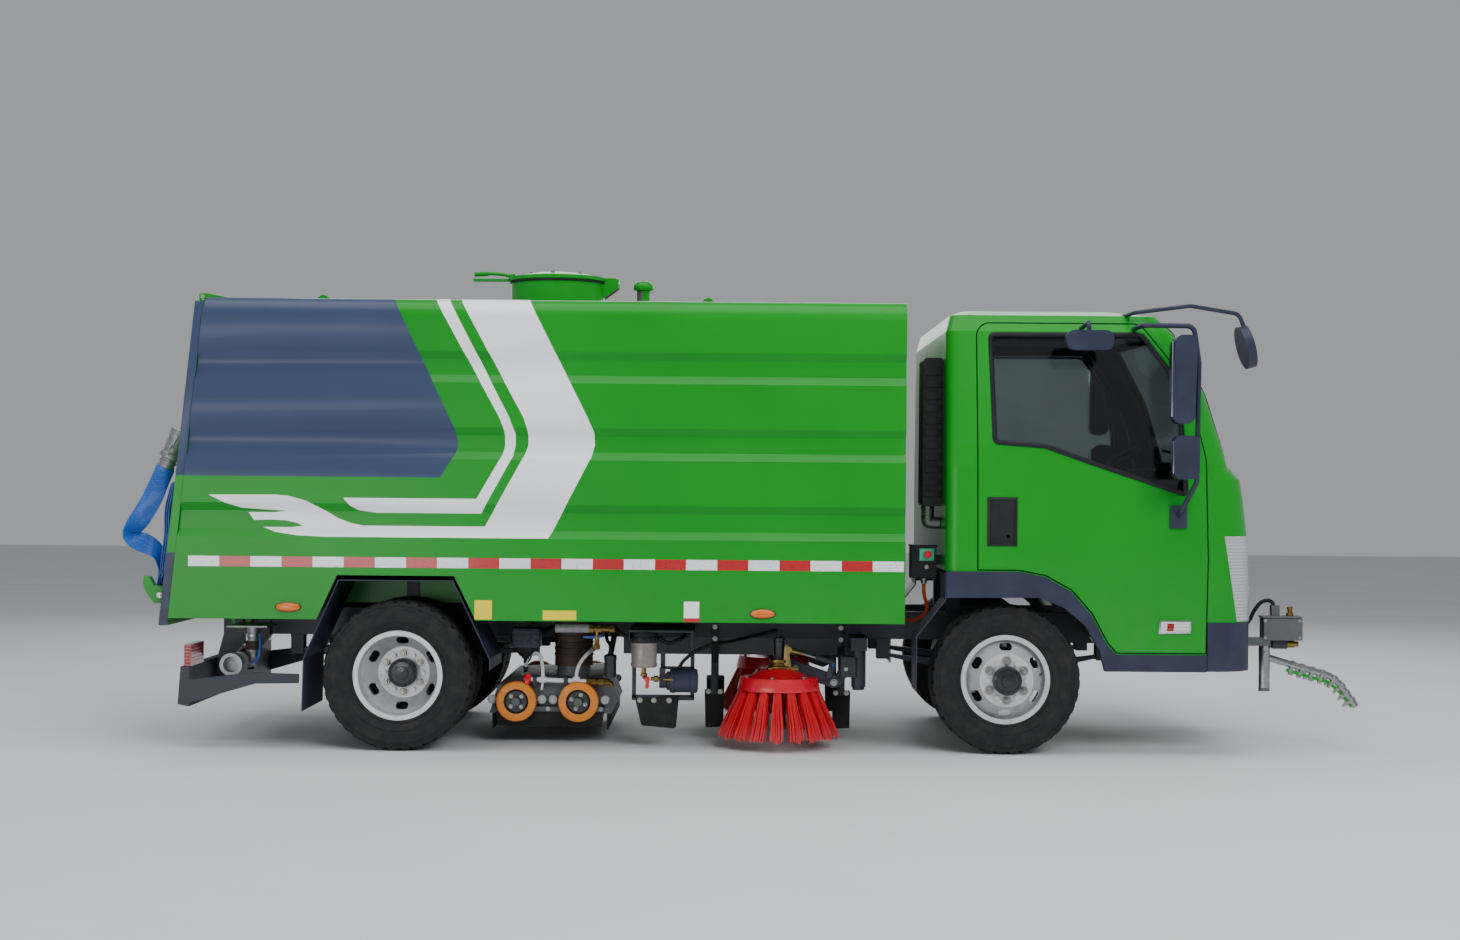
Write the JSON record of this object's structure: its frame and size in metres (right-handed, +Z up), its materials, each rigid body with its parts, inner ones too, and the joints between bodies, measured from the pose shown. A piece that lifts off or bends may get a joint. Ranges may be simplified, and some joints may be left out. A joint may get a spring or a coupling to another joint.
{
  "type": "electric street sweeper truck",
  "caption": "Small electric street sweeper truck with a tipping ribbed hopper, side brushes, a suction nozzle and a front spray arm.",
  "frame": {"origin": "on the ground in the middle of the truck's length and width, under its wheels", "axes": "+X forward, +Y to the truck's left, +Z up"},
  "size_m": [6.1517, 2.33, 2.414],
  "materials": {
    "green_paint": "gloss paint",
    "slate_paint": "satin paint",
    "grey_paint": "satin paint",
    "black_paint": "satin black paint",
    "silver_paint": "silver wheel paint",
    "tyre": "matt",
    "black_plastic": "grained",
    "grey_plastic": "grained",
    "glass": "tinted",
    "lamp_clear": "clear lens",
    "lamp_red": "lens",
    "seat_fabric": "woven",
    "steel": "machined",
    "aluminium": "cast",
    "rubber": "matt",
    "orange_wheel": "moulded",
    "red_paint": "worn paint",
    "hose_canvas": "woven canvas"
  },
  "bodies": {
    "chassis": {"frame": "black_paint", "cab_shell": "green_paint", "cab_glass": "glass", "headlamps": "lamp_clear", "front_bumper": "green_paint", "front_grille": "black_plastic", "arch_flares": "grey_plastic", "dashboard": "black_plastic", "steering_wheel": "black_plastic", "seats": "seat_fabric", "front_mirror": "black_plastic", "front_axle": "black_paint", "rear_axle": "black_paint", "battery_pack": "grey_paint", "drive_motor": "aluminium", "rear_mudguards": "grey_plastic", "front_mudguards": "grey_plastic", "rear_bumper": "black_paint", "tail_lamps": "lamp_red", "filter_unit": "grey_paint", "cab_back_unit": "black_plastic", "switch_box": "black_plastic", "wash_bracket": "grey_paint", "suction_duct": "rubber", "water_inlet": "aluminium", "brush_mounts": "black_paint"},
    "knuckle_r": {"knuckle_right": "black_paint"},
    "knuckle_l": {"knuckle_left": "black_paint"},
    "front_wheel_r": {"front_tyre_right": "tyre", "front_rim_right": "silver_paint"},
    "front_wheel_l": {"front_tyre_left": "tyre", "front_rim_left": "silver_paint"},
    "rear_wheels_r": {"rear_tyres_right": "tyre", "rear_rims_right": "silver_paint"},
    "rear_wheels_l": {"rear_tyres_left": "tyre", "rear_rims_left": "silver_paint"},
    "door_r": {"door_right": "green_paint", "door_glass_right": "glass", "mirrors_right": "black_plastic"},
    "door_l": {"door_left": "green_paint", "door_glass_left": "glass", "mirrors_left": "black_plastic"},
    "hopper": {"hopper_shell": "green_paint"},
    "hatch": {"hatch_lid": "aluminium"},
    "tail_gate": {"tailgate": "green_paint", "hose_coupling": "aluminium", "hose_hank": "hose_canvas"},
    "hoist_cylinder": {"hoist_barrel": "black_paint"},
    "hoist_ram": {"hoist_rod": "steel"},
    "nozzle": {"suction_nozzle": "grey_paint"},
    "nozzle_rear_wheels": {"nozzle_wheels_rear": "orange_wheel"},
    "nozzle_front_wheels": {"nozzle_wheels_front": "orange_wheel"},
    "brush_swing_r": {"brush_bracket_right": "black_paint"},
    "brush_swing_l": {"brush_bracket_left": "black_paint"},
    "brush_lift_r": {"brush_arm_right": "black_paint"},
    "brush_lift_l": {"brush_arm_left": "black_paint"},
    "brush_head_r": {"brush_right": "red_paint"},
    "brush_head_l": {"brush_left": "red_paint"},
    "spray_arm": {"wash_arm": "steel"}
  },
  "joints": [
    {"name": "steer_r", "type": "hinge", "parent": "chassis", "child": "knuckle_r", "pos_m": [1.264, -0.64, 0.364], "axis": [0, 0, 1], "range_deg": [-35, 35]},
    {"name": "front_wheel_spin_r", "type": "hinge", "parent": "knuckle_r", "child": "front_wheel_r", "pos_m": [1.264, -0.77, 0.364], "axis": [0, 1, 0], "continuous": true},
    {"name": "rear_wheels_spin_r", "type": "hinge", "parent": "chassis", "child": "rear_wheels_r", "pos_m": [-1.686, -0.697, 0.364], "axis": [0, 1, 0], "continuous": true},
    {"name": "door_hinge_r", "type": "hinge", "parent": "chassis", "child": "door_r", "pos_m": [2.186, -0.918, 0.76], "axis": [0, 0, 1], "range_deg": [0, 70]},
    {"name": "brush_swing_out_r", "type": "hinge", "parent": "chassis", "child": "brush_swing_r", "pos_m": [0.564, -0.6, 0.39], "axis": [0, 0, 1], "range_deg": [0, 30]},
    {"name": "brush_raise_r", "type": "hinge", "parent": "brush_swing_r", "child": "brush_lift_r", "pos_m": [0.499, -0.6, 0.39], "axis": [0, 1, 0], "range_deg": [0, 15]},
    {"name": "brush_spin_r", "type": "hinge", "parent": "brush_lift_r", "child": "brush_head_r", "pos_m": [0.166, -0.64, 0.39], "axis": [0, 0, 1], "continuous": true},
    {"name": "steer_l", "type": "hinge", "parent": "chassis", "child": "knuckle_l", "pos_m": [1.264, 0.64, 0.364], "axis": [0, 0, 1], "range_deg": [-35, 35]},
    {"name": "front_wheel_spin_l", "type": "hinge", "parent": "knuckle_l", "child": "front_wheel_l", "pos_m": [1.264, 0.77, 0.364], "axis": [0, 1, 0], "continuous": true},
    {"name": "rear_wheels_spin_l", "type": "hinge", "parent": "chassis", "child": "rear_wheels_l", "pos_m": [-1.686, 0.697, 0.364], "axis": [0, 1, 0], "continuous": true},
    {"name": "door_hinge_l", "type": "hinge", "parent": "chassis", "child": "door_l", "pos_m": [2.186, 0.918, 0.76], "axis": [0, 0, 1], "range_deg": [-70, 0]},
    {"name": "brush_swing_out_l", "type": "hinge", "parent": "chassis", "child": "brush_swing_l", "pos_m": [0.564, 0.6, 0.39], "axis": [0, 0, 1], "range_deg": [-30, 0]},
    {"name": "brush_raise_l", "type": "hinge", "parent": "brush_swing_l", "child": "brush_lift_l", "pos_m": [0.499, 0.6, 0.39], "axis": [0, 1, 0], "range_deg": [0, 15]},
    {"name": "brush_spin_l", "type": "hinge", "parent": "brush_lift_l", "child": "brush_head_l", "pos_m": [0.166, 0.64, 0.39], "axis": [0, 0, 1], "continuous": true},
    {"name": "hopper_tip", "type": "hinge", "parent": "chassis", "child": "hopper", "pos_m": [-2.564, 0, 0.59], "axis": [0, -1, 0], "range_deg": [0, 40]},
    {"name": "hatch_hinge", "type": "hinge", "parent": "hopper", "child": "hatch", "pos_m": [-0.693, 0, 2.362], "axis": [0, 1, 0], "range_deg": [0, 100]},
    {"name": "tailgate_hinge", "type": "hinge", "parent": "hopper", "child": "tail_gate", "pos_m": [-2.669, 0, 2.2], "axis": [0, 1, 0], "range_deg": [0, 80]},
    {"name": "hoist_pivot", "type": "hinge", "parent": "chassis", "child": "hoist_cylinder", "pos_m": [-2.224, 0, 0.48], "axis": [0, -1, 0], "range_deg": [0, 52]},
    {"name": "hoist_stroke", "type": "slide", "parent": "hoist_cylinder", "child": "hoist_ram", "axis": [0.9662, 0, 0.2577], "range_m": [0, 0.22]},
    {"name": "nozzle_lower", "type": "slide", "parent": "chassis", "child": "nozzle", "axis": [0, 0, 1], "range_m": [-0.11, 0]},
    {"name": "nozzle_rear_spin", "type": "hinge", "parent": "nozzle", "child": "nozzle_rear_wheels", "pos_m": [-1.139, 0, 0.215], "axis": [0, 1, 0], "continuous": true},
    {"name": "nozzle_front_spin", "type": "hinge", "parent": "nozzle", "child": "nozzle_front_wheels", "pos_m": [-0.83, 0, 0.215], "axis": [0, 1, 0], "continuous": true},
    {"name": "spray_arm_swing", "type": "hinge", "parent": "chassis", "child": "spray_arm", "pos_m": [2.598, -0.56, 0.43], "axis": [0, 0, 1], "range_deg": [-30, 85]}
  ],
  "couplings": [
    {"joint": "steer_l", "follows": "steer_r", "ratio": 1},
    {"joint": "hoist_pivot", "follows": "hopper_tip", "ratio": 1.257},
    {"joint": "hoist_stroke", "follows": "hopper_tip", "m_per_rad": 0.3}
  ]
}
